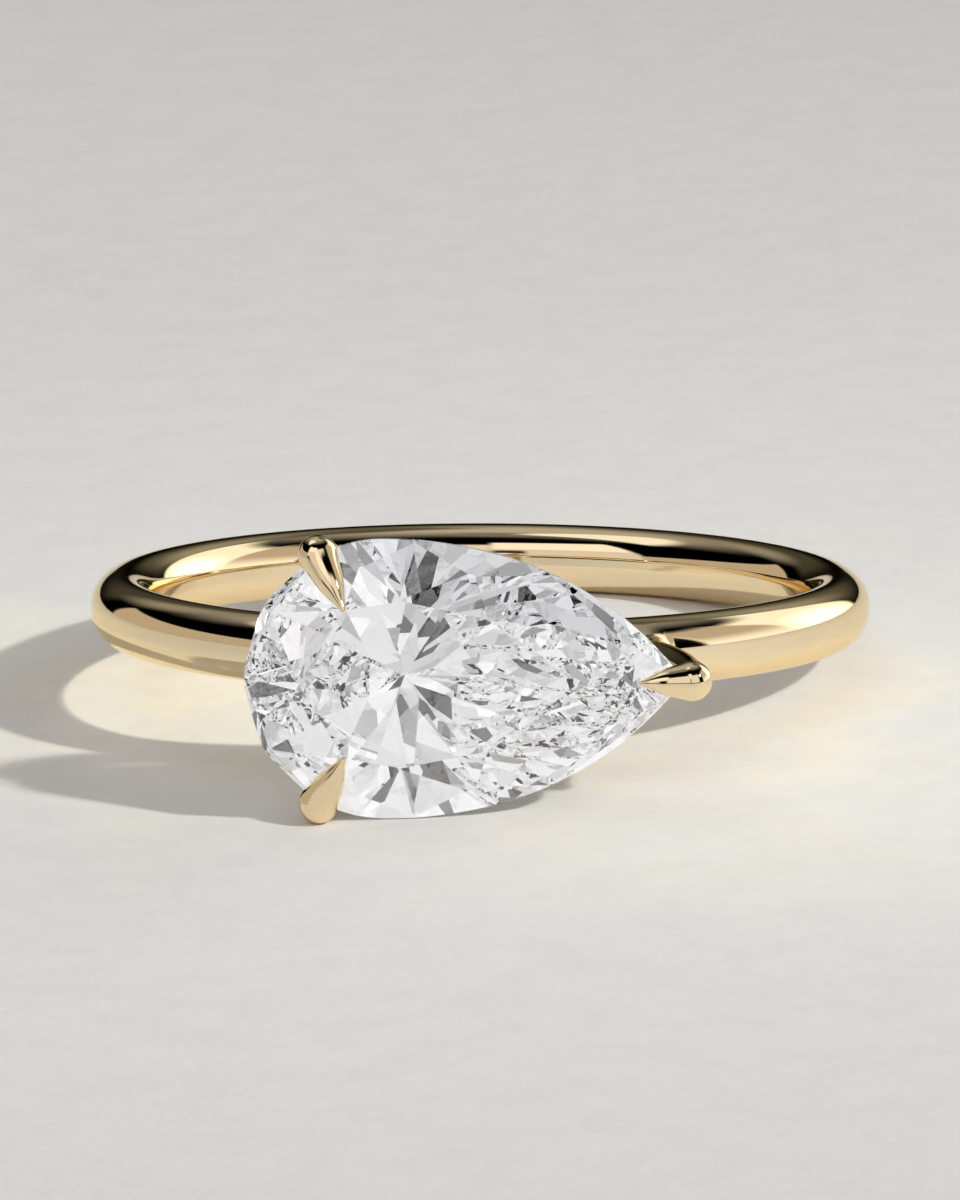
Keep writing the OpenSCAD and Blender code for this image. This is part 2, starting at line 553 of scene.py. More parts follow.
class MountForm:
    """The mount as distances from its primitives, in the ring's frame and in millimetres."""

    # Reach of the claws outside the stone's edge and inside it
    claw_out = 0.53
    point_out = 0.69
    claw_in = 1.44
    point_in = 1.09
    # Height of the middles of the claws' round ends above the girdle's
    round_rise = 0.2
    point_rise = 0.15
    # Swell of a claw's flanks, and the rounding where its drop meets its leg
    bulge = 0.05
    weld = 0.03

    def __init__(self, mount, stone):
        cut = PearCut(stone)
        self.cut = cut
        self.thickness = mount.shank_thickness / MM
        self.centre_r = finger_hole()["dims"]["r_mm"] + self.thickness / 2
        self.land = (mount.shank_width - mount.shank_thickness) / MM
        self.claw_r = mount.claw_thickness / MM / 2
        self.tip_r = mount.tip_thickness / MM / 2
        self.leg_r = mount.leg_thickness / MM / 2
        self.fillet = mount.solder_fillet / MM
        self.to_stone = stone_to_ring(cut, stone, mount).inverted()
        self.from_stone = self.to_stone.inverted()
        tip_rise = self.tip_r / 2
        slope = cut.crown_h / cut.crown_run(cut.last)
        round_root = (cut.half_w + self.claw_out - self.claw_r, self.round_rise)
        round_tip = (cut.half_w - self.claw_in + self.tip_r, cut.rim_z + cut.crown_h + tip_rise)
        point_root = (cut.point_x + self.point_out - self.claw_r, self.point_rise)
        point_tip = (
            cut.point_x - self.point_in + self.tip_r,
            cut.rim_z + self.point_in * slope + tip_rise,
        )
        # Each claw in its own upright plane: the middles of its round end and its tip as distance and
        # height, its leg's lean at the girdle, the radius of the leg's bow, the leg's lean where it ends
        # in the shank, and the plane's turn
        round_claw = {"root": round_root, "tip": round_tip, "lean": 10, "bow": 4.2, "end": 85}
        point_claw = {"root": point_root, "tip": point_tip, "lean": 5, "bow": 12.0, "end": 30}
        self.claws = [
            {**round_claw, "turn": -CLAW_TURN},
            {**round_claw, "turn": CLAW_TURN},
            {**point_claw, "turn": 0.0},
        ]

    def shank(self, p):
        """Distance from the shank, a stadium turned round the finger hole."""
        outward = np.hypot(p[:, 0], p[:, 1]) - self.centre_r
        along = np.maximum(np.abs(p[:, 2]) - self.land / 2, 0)
        return np.hypot(outward, along) - self.thickness / 2

    def in_plane(self, claw, p):
        """Points of the ring's frame as distance, height and offset in a claw's plane."""
        turn = math.radians(claw["turn"])
        q = p @ np.array(self.to_stone.to_3x3()).T + np.array(self.to_stone.translation)
        outward = q[:, 0] * math.cos(turn) + q[:, 1] * math.sin(turn)
        offset = q[:, 1] * math.cos(turn) - q[:, 0] * math.sin(turn)
        return outward, q[:, 2], offset

    def drop(self, claw, p):
        """Distance from a claw's drop, a cone with a round end on each side."""
        u, h, offset = self.in_plane(claw, p)
        root, tip = np.array(claw["root"]), np.array(claw["tip"])
        axis = tip - root
        length = np.linalg.norm(axis)
        axis /= length
        along = (u - root[0]) * axis[0] + (h - root[1]) * axis[1]
        out = np.hypot((u - root[0]) * axis[1] - (h - root[1]) * axis[0], offset)
        taper = (self.claw_r - self.tip_r) / length
        flank = math.sqrt(1 - taper * taper)
        slide = along * flank - out * taper
        belly = self.bulge * np.sin(np.pi * np.clip(slide / (length * flank), 0, 1)) ** 2
        side = out * flank + along * taper - self.claw_r - belly
        near = np.hypot(along, out) - self.claw_r
        far = np.hypot(along - length, out) - self.tip_r
        return np.where(slide < 0, near, np.where(slide > length * flank, far, side))

    def hub(self, claw):
        """Centre of the leg's bow."""
        lean = math.radians(claw["lean"])
        return np.array(claw["root"]) + claw["bow"] * np.array([-math.cos(lean), math.sin(lean)])

    def leg(self, claw, p):
        """Distance from a claw's leg, a round bar bent to an arc."""
        u, h, offset = self.in_plane(claw, p)
        hub = self.hub(claw)
        turn = np.degrees(np.arctan2(hub[1] - h, u - hub[0]))
        turn = np.radians(np.clip(turn, claw["lean"], claw["end"]))
        du = u - hub[0] - claw["bow"] * np.cos(turn)
        dh = h - hub[1] + claw["bow"] * np.sin(turn)
        return np.sqrt(du * du + dh * dh + offset * offset) - self.leg_r

    def distance(self, p):
        """Distance from the whole mount, with its solder rounded."""
        found = self.shank(p)
        for claw in self.claws:
            arm = smooth_min(self.leg(claw, p), self.drop(claw, p), self.weld)
            found = smooth_min(found, arm, self.fillet)
        return found

    def slope(self, p, step=1e-4, least=1e-12):
        """Which way the distance grows, at each point."""
        found = np.empty_like(p)
        for k in range(3):
            shift = np.zeros(3)
            shift[k] = step
            found[:, k] = self.distance(p + shift) - self.distance(p - shift)
        return found / np.maximum(np.linalg.norm(found, axis=1), least)[:, None]

    def from_plane(self, claw, u, h, offset):
        """A place in a claw's plane as a point of the ring's frame."""
        turn = math.radians(claw["turn"])
        q = Vector((
            u * math.cos(turn) - offset * math.sin(turn),
            u * math.sin(turn) + offset * math.cos(turn),
            h,
        ))
        return self.from_stone @ q


def shank_rings(form, around, section):
    """Sections of the shank, one for each step round the finger hole."""
    radius = form.thickness / 2
    half = section // 2
    outline = []
    for side in (1, -1):
        for k in range(half + 1):
            turn = math.pi * k / half
            outline.append((radius * math.cos(turn) * side, side * (form.land / 2 + radius * math.sin(turn))))
    found = []
    for j in range(around):
        turn = 2 * math.pi * j / around
        found.append([
            ((form.centre_r + out) * math.cos(turn), (form.centre_r + out) * math.sin(turn), z)
            for out, z in outline
        ])
    return found


def drop_rings(form, claw, steps=14, tip_steps=5):
    """Sections of a claw's drop: steps on its round end, twice as many on its flank, tip_steps on its tip."""
    root, tip = np.array(claw["root"]), np.array(claw["tip"])
    axis = tip - root
    length = np.linalg.norm(axis)
    axis /= length
    taper = (form.claw_r - form.tip_r) / length
    flat = math.asin(taper)
    profile = []
    for k in range(1, steps + 1):
        turn = -math.pi / 2 + (math.pi / 2 + flat) * k / steps
        profile.append((form.claw_r * math.sin(turn), form.claw_r * math.cos(turn)))
    foot = profile[-1]
    head = (length + form.tip_r * math.sin(flat), form.tip_r * math.cos(flat))
    for k in range(1, 2 * steps + 1):
        share = k / (2 * steps)
        belly = form.bulge * math.sin(math.pi * share) ** 2
        along = foot[0] + (head[0] - foot[0]) * share
        profile.append((along, foot[1] + (head[1] - foot[1]) * share + belly))
    for k in range(1, tip_steps):
        turn = flat + (math.pi / 2 - flat) * k / tip_steps
        profile.append((length + form.tip_r * math.sin(turn), form.tip_r * math.cos(turn)))
    found = []
    for along, out in profile:
        ring = []
        for k in range(CLAW_FACES):
            turn = 2 * math.pi * k / CLAW_FACES
            u = root[0] + axis[0] * along + axis[1] * out * math.cos(turn)
            h = root[1] + axis[1] * along - axis[0] * out * math.cos(turn)
            ring.append(form.from_plane(claw, u, h, out * math.sin(turn)))
        found.append(ring)
    return found


def leg_rings(form, claw, step=0.1):
    """Sections of a claw's leg, one for each step along it, from inside its drop to inside the shank."""
    hub = form.hub(claw)
    steps = int(math.radians(claw["end"] - claw["lean"]) * claw["bow"] / step)
    found = []
    for j in range(steps + 1):
        turn = math.radians(claw["lean"] + (claw["end"] - claw["lean"]) * j / steps)
        ring = []
        for k in range(CLAW_FACES):
            round_turn = 2 * math.pi * k / CLAW_FACES
            reach = claw["bow"] + form.leg_r * math.cos(round_turn)
            u = hub[0] + reach * math.cos(turn)
            h = hub[1] - reach * math.sin(turn)
            ring.append(form.from_plane(claw, u, h, form.leg_r * math.sin(round_turn)))
        found.append(ring)
    return found


def as_object(name, made):
    """A bmesh as an object in the scene."""
    mesh = bpy.data.meshes.new(name)
    made.to_mesh(mesh)
    made.free()
    piece = bpy.data.objects.new(name, mesh)
    bpy.context.scene.collection.objects.link(piece)
    return piece


def combine(piece, other, operation):
    """Joins other to piece or cuts it away, and removes other."""
    tool = piece.modifiers.new("combine", "BOOLEAN")
    tool.object = other
    tool.operation = operation
    tool.solver = "MANIFOLD"
    result = bpy.data.meshes.new_from_object(piece.evaluated_get(bpy.context.evaluated_depsgraph_get()))
    piece.modifiers.clear()
    old = piece.data
    piece.data = result
    bpy.data.meshes.remove(old)
    bpy.data.meshes.remove(other.data)


def vectors_of(items, name):
    """A vector that each vertex or face of a mesh has, as an array."""
    found = np.empty(len(items) * 3)
    items.foreach_get(name, found)
    return found.reshape(-1, 3)


def settle_on_form(mesh, form, rounds=5):
    """Moves each vertex onto the mount's rounded surface."""
    places = vectors_of(mesh.vertices, "co")
    for _ in range(rounds):
        places -= form.distance(places)[:, None] * form.slope(places)
    mesh.vertices.foreach_set("co", places.ravel())
    mesh.update()


def shade_by_form(mesh, form, turn):
    """The true direction of the surface at each corner of a face, turned, with the seats left flat."""
    corner = np.empty(len(mesh.loops), int)
    mesh.loops.foreach_get("vertex_index", corner)
    slopes = form.slope(vectors_of(mesh.vertices, "co"))
    flat = vectors_of(mesh.polygons, "normal")
    centres = vectors_of(mesh.polygons, "center")
    on_form = np.abs(form.distance(centres)) < NEAR_FORM
    on_form &= np.einsum("ij,ij->i", form.slope(centres), flat) > ALONG_FORM
    sizes = np.empty(len(mesh.polygons), int)
    mesh.polygons.foreach_get("loop_total", sizes)
    owner = np.repeat(np.arange(len(sizes)), sizes)
    mesh.polygons.foreach_set("use_smooth", np.ones(len(sizes), bool))
    normals = np.where(on_form[owner][:, None], slopes[corner], flat[owner])
    return normals @ np.array(turn).T


def new_material(name):
    """A node material, its node tree and its Principled shader."""
    material = bpy.data.materials.new(name)
    material.use_nodes = True
    return material, material.node_tree, material.node_tree.nodes["Principled BSDF"]


def add_node(tree, kind, **values):
    """Adds a node and sets its properties, or its inputs where the name is one of those."""
    node = tree.nodes.new(kind)
    for name, value in values.items():
        wanted = name.replace("_", " ").lower()
        found = [socket for socket in node.inputs if socket.name.lower() == wanted]
        if hasattr(node, name):
            setattr(node, name, value)
        elif found:
            found[0].default_value = value
        else:
            raise ValueError(f"{kind} has no {name}")
    return node


def math_node(tree, operation, first, second=None):
    """A Math node fed by sockets or numbers."""
    node = add_node(tree, "ShaderNodeMath", operation=operation)
    for socket, value in zip(node.inputs, (first, second)):
        if isinstance(value, (int, float)):
            socket.default_value = value
        elif value is not None:
            tree.links.new(value, socket)
    return node.outputs[0]


def soft_step(tree, value, low, high):
    """0 at low and 1 at high, with a smooth step between them."""
    node = add_node(tree, "ShaderNodeMapRange", interpolation_type="SMOOTHSTEP", From_Min=low, From_Max=high)
    tree.links.new(value, node.inputs["Value"])
    return node.outputs["Result"]


def mixed(tree, share, first, second, blend="MIX", label=""):
    """Colour that goes from the first to the second, or to both blended, as share goes from 0 to 1."""
    node = add_node(tree, "ShaderNodeMix", data_type="RGBA", blend_type=blend, label=label)
    tree.links.new(share, node.inputs[0])
    for socket, value in ((node.inputs[6], first), (node.inputs[7], second)):
        if isinstance(value, bpy.types.NodeSocket):
            tree.links.new(value, socket)
        else:
            socket.default_value = (*value, 1.0)
    return node.outputs[2]


def noise(tree, place, scale, detail, roughness=0.5):
    """Strength of a cloudy noise at each place."""
    node = add_node(tree, "ShaderNodeTexNoise", Scale=scale, Detail=detail, Roughness=roughness)
    tree.links.new(place, node.inputs["Vector"])
    return node.outputs["Fac"]


def add_relief(tree, shader, height, strength, depth):
    """Gives a surface a fine relief of that depth."""
    bump = add_node(tree, "ShaderNodeBump", Strength=strength, Distance=depth)
    tree.links.new(height, bump.inputs["Height"])
    tree.links.new(bump.outputs["Normal"], shader.inputs["Normal"])


def gold_material(sizes):
    """Mirror-polished yellow gold, with the faint waves and hairlines of a polishing wheel."""
    material, tree, shader = new_material("polished_gold")
    # Roughness that the wheel leaves and colour of the reddest places, as shares of the settings
    finest, coarsest = 0.8, 1.5
    reddest = (1.0, 0.985, 0.96)
    shader.inputs["Metallic"].default_value = 1.0
    shader.inputs["Specular Tint"].default_value = (1.0, 0.93, 0.78, 1.0)
    place = add_node(tree, "ShaderNodeTexCoord").outputs["Object"]
    cloud = noise(tree, place, scale=900.0, detail=3.0)
    hairline = noise(tree, place, scale=14000.0, detail=2.0)
    redder = [part * share for part, share in zip(sizes.gold[:3], reddest)]
    tone = mixed(tree, cloud, sizes.gold[:3], redder)
    wear = add_node(
        tree, "ShaderNodeMapRange", To_Min=sizes.polish * finest, To_Max=sizes.polish * coarsest
    )
    tree.links.new(tone, shader.inputs["Base Color"])
    tree.links.new(cloud, wear.inputs["Value"])
    tree.links.new(wear.outputs["Result"], shader.inputs["Roughness"])
    add_relief(tree, shader, hairline, strength=0.03, depth=0.004 * MM)
    return material


def diamond_material(sizes):
    """Clear brilliant-cut stone, with the faintest clouds in its body."""
    material, tree, shader = new_material("clear_diamond")
    clear, clouded = (1.0, 1.0, 1.0), (0.985, 0.988, 1.0)
    shader.inputs["Transmission Weight"].default_value = 1.0
    shader.inputs["IOR"].default_value = sizes.refraction
    shader.inputs["Roughness"].default_value = 0.0
    place = add_node(tree, "ShaderNodeTexCoord").outputs["Object"]
    cloud = noise(tree, place, scale=1500.0, detail=2.0)
    tree.links.new(mixed(tree, cloud, clear, clouded), shader.inputs["Base Color"])
    return material


def plaster_material(sizes):
    """Pale plaster, flecked all over, with warm clouds round the ring that are partly a painted warm glow of
    light off the gold, and painted shade that makes it darker away from the ring.
    """
    material, tree, shader = new_material("pale_plaster")
    # Distances from the ring between which painted shade darkens the floor as the light falls off and,
    # inwards, its warm clouds with their painted warm glow begin
    painted_falloff = (14 * MM, 56 * MM)
    painted_glow_reach = (25 * MM, 9 * MM)
    # Strengths of the noise between which a cloud and a fleck begin
    cloud_edge = (0.44, 0.68)
    fleck_edge = (0.38, 0.66)
    # Colours of a fleck and of the far floor's painted shade, as shares of the colour of the near floor
    fleck_tone = (0.96, 0.96, 0.965)
    painted_falloff_tone = (0.925, 0.925, 0.93)
    shader.inputs["Roughness"].default_value = 0.8
    shader.inputs["Specular IOR Level"].default_value = 0.2
    place = add_node(tree, "ShaderNodeTexCoord").outputs["Object"]
    length = add_node(tree, "ShaderNodeVectorMath", operation="LENGTH")
    tree.links.new(place, length.inputs[0])
    distance = length.outputs["Value"]
    cloud = noise(tree, place, scale=150.0, detail=3.0, roughness=0.6)
    fleck = noise(tree, place, scale=500.0, detail=4.0, roughness=0.8)
    grain = noise(tree, place, scale=3500.0, detail=1.0)
    # Painted warm glow: the warm clouds fade in only near the ring, standing in for warm light thrown off the
    # gold
    near = soft_step(tree, distance, *painted_glow_reach)
    cloud_and_painted_glow = math_node(tree, "MULTIPLY", soft_step(tree, cloud, *cloud_edge), near)
    tone = mixed(tree, cloud_and_painted_glow, sizes.plaster[:3], sizes.warm_cloud_and_glow[:3])
    tone = mixed(tree, soft_step(tree, fleck, *fleck_edge), tone, fleck_tone, blend="MULTIPLY")
    # Painted shade: the floor darkens away from the ring as though the light fell off
    tone = mixed(tree, soft_step(tree, distance, *painted_falloff), tone, painted_falloff_tone, blend="MULTIPLY")
    tree.links.new(tone, shader.inputs["Base Color"])
    add_relief(tree, shader, grain, strength=0.08, depth=0.2 * MM)
    return material


# Lights round the ring, each laid over those before it. Directions are in degrees: azimuth 0 is the
# camera's side and 90 the stone's point. A soft box fills an azimuth and an elevation, and its edges
# at the sides, below and above are so soft. A round glow has a centre and is full up to its first
# reach and gone at its second.
SOFT_BOXES = [
    {"name": "back_glow", "centre": (-170, 65), "reach": (8, 44),
     "colour": (1.0, 0.98, 0.92), "strength": 0.48},
    {"name": "right_foot", "azimuth": (152, 176), "elevation": (6, 60), "soft": (12, 16, 10),
     "colour": (1.0, 0.95, 0.75), "strength": 0.10},
    {"name": "left_foot", "azimuth": (-176, -151), "elevation": (6, 28), "soft": (10, 16, 10),
     "colour": (1.0, 0.95, 0.75), "strength": 0.06},
    {"name": "right_lobe", "centre": (157, 28), "reach": (2, 20),
     "colour": (1.0, 0.98, 0.86), "strength": 0.32},
    {"name": "left_lobe", "centre": (-154, 31), "reach": (2, 18),
     "colour": (1.0, 0.98, 0.86), "strength": 0.30},
    {"name": "top_glow", "azimuth": (-180, 180), "elevation": (81, 95), "soft": (1, 8, 1),
     "colour": (1.0, 0.98, 0.90), "strength": 0.20},
    {"name": "left_panel", "azimuth": (-143, -87), "elevation": (53, 84), "soft": (9, 7, 8),
     "colour": (1.0, 1.0, 0.98), "strength": 1.05},
    {"name": "side_panel", "azimuth": (72, 149.5), "elevation": (-6, 42), "soft": (3, 2, 8),
     "colour": (1.0, 1.0, 0.93), "strength": 1.15},
    {"name": "panel_heart", "centre": (128, 8), "reach": (8, 24),
     "colour": (1.0, 1.0, 1.0), "strength": 1.9},
    {"name": "warm_flank", "azimuth": (73, 108), "elevation": (14, 46), "soft": (4, 24, 10),
     "colour": (1.0, 0.86, 0.72), "strength": 0.55},
    {"name": "left_glow", "azimuth": (-137, -60), "elevation": (-4, 19.5), "soft": (2, 2, 2),
     "colour": (1.0, 0.88, 0.74), "strength": 0.52},
    {"name": "front_panel", "azimuth": (-59, 0), "elevation": (26, 54), "soft": (4, 12, 4),
     "colour": (1.0, 0.97, 0.95), "strength": 1.1},
    {"name": "front_low", "azimuth": (-60, -14), "elevation": (6, 28), "soft": (4, 6, 8),
     "colour": (1.0, 0.92, 0.90), "strength": 0.8},
    {"name": "claw_panel", "azimuth": (-1, 46), "elevation": (3, 45), "soft": (6, 5, 8),
     "colour": (1.0, 0.97, 0.92), "strength": 0.88},
]

# What the stone gathers through its facets is a pale tent. Its walls go from grey to white in soft
# patches: each brightness, with the strength of the patches' noise that has it. Dark cards stand
# before it on the camera's side, and a grey one behind the ring.
TENT_PATCHES = [(0.34, 0.13), (0.395, 0.46), (0.445, 0.69), (0.505, 0.84), (0.58, 0.95), (0.66, 1.15)]
TENT_TINTS = ((1.0, 0.98, 0.99), (0.975, 0.985, 1.0))
TENT_CARDS = [
    {"name": "camera_card", "azimuth": (-11, 9), "elevation": (2, 26), "soft": (2, 2, 2),
     "colour": (1.0, 0.97, 1.0), "strength": 0.03},
    {"name": "left_flag", "azimuth": (-42, -22), "elevation": (6, 24), "soft": (2, 2, 2),
     "colour": (1.0, 0.97, 1.0), "strength": 0.03},
    {"name": "right_flag", "azimuth": (42, 60), "elevation": (9, 26), "soft": (2, 2, 2),
     "colour": (1.0, 0.97, 1.0), "strength": 0.03},
    {"name": "back_card", "azimuth": (-150, -108), "elevation": (26, 46), "soft": (3, 3, 3),
     "colour": (1.0, 1.0, 1.0), "strength": 0.3},
]

# Lamps in the key light's direction, each fading towards its edge: the place on the floor that it is
# aimed at, in millimetres, the setting that gives its strength and its share of that, the width of its
# beam in degrees, its spread as a share of the key light's, and whether the ring mirrors it
KEY_LIGHTS = [
    {"name": "key_light", "aim": (2, 0, 0), "setting": "key_strength", "share": 1.0, "beam": 17.0,
     "softness": 1.0, "colour": (0.96, 0.985, 1.0), "mirrored": True},
    {"name": "key_pool", "aim": (10, -4, 0), "setting": "pool_strength", "share": 1.0, "beam": 2.0,
     "softness": 0.25, "colour": (1.0, 0.99, 0.92), "mirrored": True},
    {"name": "warm_right", "aim": (5, -11, 0), "setting": "pool_strength", "share": 0.6, "beam": 1.2,
     "softness": 0.125, "colour": (1.0, 0.72, 0.2), "mirrored": False},
    {"name": "warm_left", "aim": (-8.5, 1.5, 0), "setting": "pool_strength", "share": 1.5, "beam": 0.9,
     "softness": 0.125, "colour": (1.0, 0.79, 0.19), "mirrored": False},
]

# Colour of the wide light from above
FILL_COLOUR = (1.0, 0.985, 0.95)


def round_share(tree, sky, light):
    """1 round the centre of a round glow, and 0 outside it."""
    azimuth, elevation = (math.radians(angle) for angle in light["centre"])
    near = add_node(tree, "ShaderNodeVectorMath", operation="DOT_PRODUCT")
    near.inputs[1].default_value = toward(azimuth, elevation)
    tree.links.new(sky["direction"], near.inputs[0])
    away = math_node(tree, "ARCCOSINE", near.outputs["Value"])
    full, gone = (math.radians(angle) for angle in light["reach"])
    return soft_step(tree, away, gone, full)


def soft_box_share(tree, sky, box):
    """1 in the directions that a soft box or card fills, and 0 outside them."""
    middle = math.radians(sum(box["azimuth"]) / 2)
    half = (box["azimuth"][1] - box["azimuth"][0]) / 2
    aside = math_node(tree, "ABSOLUTE", math_node(tree, "SUBTRACT", sky["azimuth"], middle))
    side, foot, head = (edge / 2 for edge in box["soft"])
    low, high = box["elevation"]
    within = soft_step(tree, aside, math.radians(half + side), math.radians(half - side))
    above = soft_step(tree, sky["elevation"], math.radians(low - foot), math.radians(low + foot))
    below = soft_step(tree, sky["elevation"], math.radians(high + head), math.radians(high - head))
    return math_node(tree, "MULTIPLY", math_node(tree, "MULTIPLY", within, above), below)


def sky_angles(tree):
    """Direction of a ray that leaves the scene, and its azimuth and elevation."""
    direction = tree.nodes.new("ShaderNodeTexCoord").outputs["Generated"]
    parts = tree.nodes.new("ShaderNodeSeparateXYZ")
    tree.links.new(direction, parts.inputs[0])
    front = math_node(tree, "MULTIPLY", parts.outputs[1], -1.0)
    return {
        "direction": direction,
        "azimuth": math_node(tree, "ARCTAN2", parts.outputs[0], front),
        "elevation": math_node(tree, "ARCSINE", parts.outputs[2]),
    }


def light_of(tree, sky, base, boxes):
    """Light from each direction: a base colour with boxes and cards laid over it in turn."""
    total = base
    for box in boxes:
        light = [part * box["strength"] for part in box["colour"]]
        share = round_share if "centre" in box else soft_box_share
        total = mixed(tree, share(tree, sky, box), total, light, label=box["name"])
    return total


def tent_light(tree, direction):
    """Pale walls of the light tent, in soft grey and white patches with the faintest tints."""
    patches = noise(tree, direction, scale=3.2, detail=2.0, roughness=0.55)
    tints = noise(tree, direction, scale=6.0, detail=1.0)
    ramp = tree.nodes.new("ShaderNodeValToRGB")
    stops = ramp.color_ramp.elements
    for _ in TENT_PATCHES[2:]:
        stops.new(0.5)
    for stop, (strength, light) in zip(stops, TENT_PATCHES):
        stop.position = strength
        stop.color = (light, light, light, 1.0)
    tree.links.new(patches, ramp.inputs["Fac"])
    tinted = add_node(tree, "ShaderNodeVectorMath", operation="MULTIPLY")
    tree.links.new(ramp.outputs["Color"], tinted.inputs[0])
    tree.links.new(mixed(tree, tints, *TENT_TINTS), tinted.inputs[1])
    return tinted.outputs[0]


def studio_world(sizes):
    """Soft boxes by direction in a dark studio for the gold, and a light tent for what the stone gathers."""
    world = bpy.data.worlds.new("studio")
    world.use_nodes = True
    bpy.context.scene.world = world
    tree = world.node_tree
    sky = sky_angles(tree)
    studio = light_of(tree, sky, (0.0, 0.0, 0.0), SOFT_BOXES)
    tent = light_of(tree, sky, tent_light(tree, sky["direction"]), TENT_CARDS)
    path = tree.nodes.new("ShaderNodeLightPath")
    chosen = tree.nodes.new("ShaderNodeMixShader")
    tree.links.new(path.outputs["Is Transmission Ray"], chosen.inputs[0])
    for place, light in ((1, studio), (2, tent)):
        background = add_node(tree, "ShaderNodeBackground", Strength=sizes.soft_strength)
        tree.links.new(light, background.inputs["Color"])
        tree.links.new(background.outputs[0], chosen.inputs[place])
    tree.nodes.remove(tree.nodes["Background"])
    tree.links.new(chosen.outputs[0], tree.nodes["World Output"].inputs["Surface"])


def key_light(sizes, light):
    """Round lamp in the key light's direction, whose beam fades towards its edge."""
    data = bpy.data.lights.new(light["name"], "SPOT")
    distance = sizes.key_distance
    strength = getattr(sizes, light["setting"]) * light["share"]
    # A lamp's watts are counted over the whole sphere round it
    data.energy = 4 * math.pi * distance * distance * strength
    data.shadow_soft_size = distance * math.tan(sizes.key_spread * light["softness"] / 2)
    data.spot_size = math.radians(light["beam"])
    data.spot_blend = 1.0
    data.color = light["colour"]
    lamp = bpy.data.objects.new(light["name"], data)
    back = toward(sizes.key_azimuth, sizes.key_elevation)
    lamp.location = Vector(light["aim"]) * MM + back * distance
    lamp.rotation_mode = "QUATERNION"
    lamp.rotation_quaternion = back.to_track_quat("Z", "Y")
    lamp.visible_glossy = light["mirrored"]
    lamp.visible_transmission = light["mirrored"]
    bpy.context.scene.collection.objects.link(lamp)


def fill_light(sizes):
    """Wide light from above that fills the shadows, and that the gold and the stone don't mirror."""
    light = bpy.data.lights.new("fill_light", "SUN")
    light.energy = sizes.fill_strength
    light.color = FILL_COLOUR
    light.angle = sizes.fill_spread
    lamp = bpy.data.objects.new("fill_light", light)
    lamp.visible_glossy = False
    lamp.visible_transmission = False
    bpy.context.scene.collection.objects.link(lamp)


def studio_camera(sizes):
    """Camera at the photograph's angle, a little above the plane of the shank."""
    # Pixels by which the middle of the shank is right of and below the middle of a 960 by 1200 frame
    right_of, below = 0.35, 5.14
    frame_height = 1200
    sensor = 36.0
    turn = ring_to_row()
    back = turn.to_3x3() @ toward(sizes.camera_yaw, sizes.camera_rise)
    up = turn.to_3x3() @ Vector((0, 0, 1))
    right = up.cross(back).normalized()
    up = back.cross(right)
    centre = turn.translation * MM
    a_pixel = sizes.camera_distance * sensor / sizes.camera_lens / frame_height
    data = bpy.data.cameras.new("camera")
    data.sensor_width = sensor
    data.lens = sizes.camera_lens
    data.clip_start = 0.01
    data.clip_end = 5
    camera = bpy.data.objects.new("camera", data)
    camera.matrix_world = Matrix.Translation(
        centre + back * sizes.camera_distance + up * below * a_pixel - right * right_of * a_pixel
    ) @ Matrix((right, up, back)).transposed().to_4x4()
    bpy.context.scene.collection.objects.link(camera)
    bpy.context.scene.camera = camera


def stage_surface(name, rows, material, capped):
    """A round surface from radii and heights."""
    made = bmesh.new()
    turns = [2 * math.pi * k / STAGE_FACES for k in range(STAGE_FACES)]
    rings = [
        [made.verts.new((radius * math.cos(turn), radius * math.sin(turn), height)) for turn in turns]
        for radius, height in rows
    ]
    for near, far in zip(rings, rings[1:]):
        join_rings(made, near, far)
    if capped:
        made.faces.new(reversed(rings[0]))
    for face in made.faces:
        face.smooth = True
    surface = as_object(name, made)
    surface.data.materials.append(material)
    return surface


def floor_and_backdrop(sizes, steps=32):
    """Flat floor that curves up into a round backdrop, which only the camera sees."""
    material = plaster_material(sizes)
    reach = sizes.floor_radius
    floor = stage_surface("floor", [(reach / 2, 0.0), (reach, 0.0)], material, True)
    floor.visible_transmission = False
    rows = []
    for k in range(steps + 1):
        turn = math.pi / 2 * k / steps
        out = (sizes.backdrop_radius - reach) * math.sin(turn)
        rows.append((reach + out, sizes.backdrop_height * (1 - math.cos(turn))))
    backdrop = stage_surface("backdrop", rows, material, False)
    backdrop.visible_glossy = False
    backdrop.visible_diffuse = False
    backdrop.visible_transmission = False
    backdrop.visible_shadow = False


class PEARRING_OT_stage(bpy.types.Operator):
    """Makes the camera, the floor, the backdrop and the studio's light"""

    bl_idname = "pear_ring.stage"
    bl_label = "Make stage"

    def execute(self, context):
        sizes = context.scene.pear_ring_stage
        context.scene.view_settings.view_transform = "Standard"
        light_paths = context.scene.cycles
        for kind in ("max_bounces", "transmission_bounces", "glossy_bounces"):
            setattr(light_paths, kind, STONE_BOUNCES)
        studio_camera(sizes)
        studio_world(sizes)
        for light in KEY_LIGHTS:
            key_light(sizes, light)
        fill_light(sizes)
        floor_and_backdrop(sizes)
        return {"FINISHED"}


